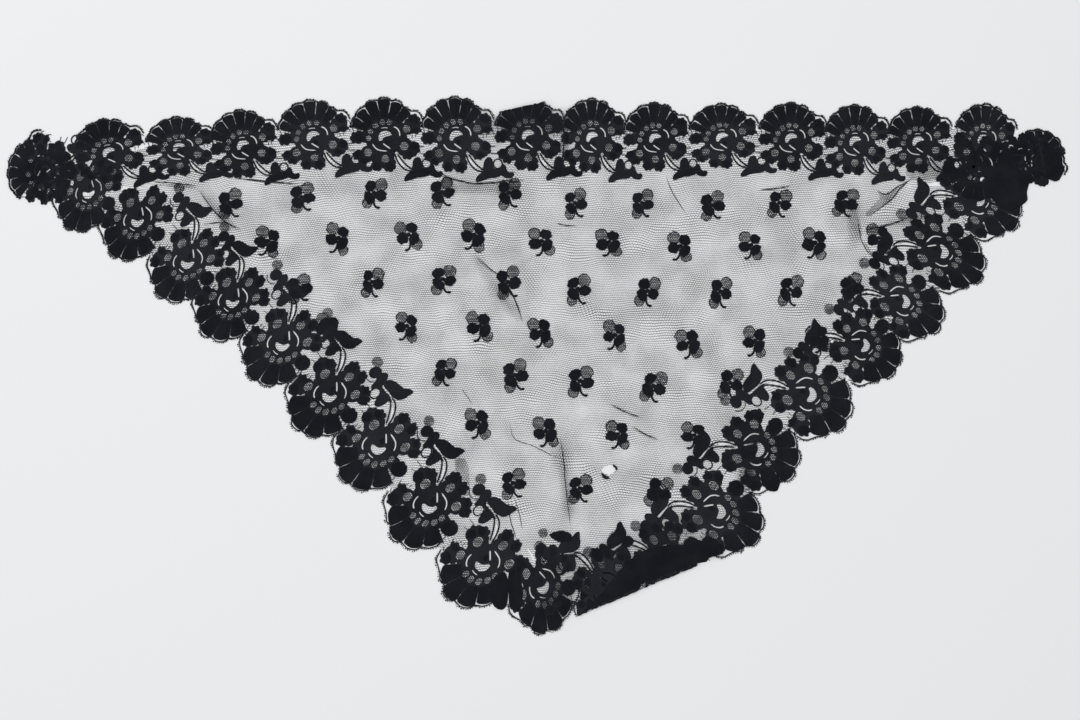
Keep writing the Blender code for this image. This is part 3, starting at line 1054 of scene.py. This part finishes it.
sprigWork = bmesh.new()
sprigDots = []
for rowNumber, row in enumerate(sprigs):
    rng = random.Random(rowNumber)
    mirror = -1 if rowNumber % 2 else 1
    for x, y in row:
        one = bmesh.new()
        turn, wide = rng.uniform(*sprigShape["turn"]), mirror * rng.uniform(*sprigShape["wide"])
        place = placer(x, y, turn, wide, rng.uniform(*sprigShape["tall"]))
        for oval in sprigShape["dense"] + [sprigShape["heart"]]:
            line = moved(place, sprigOval(*oval, rng))
            raiseShape(one, line, "sprig")
        thread(one, moved(place, rounded(sprigShape["stem"], 3, closed=False)), *threads["sprigStem"])
        thread(one, moved(place, sprigShape["stemEnd"]), *threads["sprigStemEnd"])
        for u, v, radius in sprigShape["half"]:
            ring = moved(place, sprigOval(u, v, radius, radius, 0, rng))
            thread(one, ring, *threads["ring"], closed=True)
            sprigDots.append((*place((u, v)), radius))
        joinInto(sprigWork, one)
sprigPiece = finishPiece("sprigs", sprigWork, denseCloth, "clothwork", "net_field")

rng = random.Random("folds")
foldWork = bmesh.new()
for points, width in pinchedFolds:
    line = ragged(rounded(points, 5, closed=False), rng, wobble["fold"])
    thread(foldWork, line, width, height=0.5, thick=0.5, blunt=4.0)
foldPiece = finishPiece("pinched_folds", foldWork, outlineThread, "net", "net_field")

doubleWork = bmesh.new()
for outline in doubledNet:
    fillShape(doubleWork, rounded(outline, 2), height=0.8)
doublePiece = finishPiece("net_lying_double", doubleWork, silkNet, "net", "net_field", shift=1.3)

for k, (low, high) in enumerate([(None, -120), (-120, 120), (120, None)]):
    piece, flat, area = netPanel(
        f"net_field_{k + 1}", fieldOutline, [tearHole], sprigDots, low, high, "net_field", 0
    )
    lyingOn = [sprigPiece, foldPiece, doublePiece] if k == 1 else []
print("lace shawl: net field made")


studio = {
    "middle": (4.5 * mm, 4.5 * mm), "height": 1.5, "lens": 50.0, "sensor": 36.0,
    "floor": (0.86, 0.86, 0.866, 1.0), "floorSize": 25.0,
    "sky": (0.98, 0.99, 1.0, 1.0), "skyStrength": 0.72,
    "lampAt": (-1.2, 1.3, 3.4), "lampEnergy": 44.0, "lampSize": 1.8,
}

floorMesh = bpy.data.meshes.new("paper_floor")
bm = bmesh.new()
bmesh.ops.create_grid(bm, x_segments=1, y_segments=1, size=studio["floorSize"])
bm.to_mesh(floorMesh)
bm.free()
floor = bpy.data.objects.new("paper_floor", floorMesh)
bpy.context.scene.collection.objects.link(floor)
paper = Board("pale_paper", 0.9, 0.1)
paper.feed("Base Color", studio["floor"])
floorMesh.materials.append(paper.material)

world = bpy.data.worlds.new("studio_light")
world.use_nodes = True
world.node_tree.nodes["Background"].inputs["Color"].default_value = studio["sky"]
world.node_tree.nodes["Background"].inputs["Strength"].default_value = studio["skyStrength"]
bpy.context.scene.world = world

lampData = bpy.data.lights.new("soft_window", "AREA")
lampData.energy = studio["lampEnergy"]
lampData.size = studio["lampSize"]
lamp = bpy.data.objects.new("soft_window", lampData)
lamp.location = studio["lampAt"]
lamp.rotation_euler = (Vector((0, 0, 0)) - lamp.location).to_track_quat("-Z", "Y").to_euler()
bpy.context.scene.collection.objects.link(lamp)

cameraData = bpy.data.cameras.new("overhead")
cameraData.sensor_width = studio["sensor"]
cameraData.lens = studio["lens"]
camera = bpy.data.objects.new("overhead", cameraData)
camera.location = (studio["middle"][0], studio["middle"][1], studio["height"])
bpy.context.scene.collection.objects.link(camera)
bpy.context.scene.camera = camera
bpy.context.scene.view_settings.view_transform = "Standard"
print("lace shawl: floor, light and camera set")
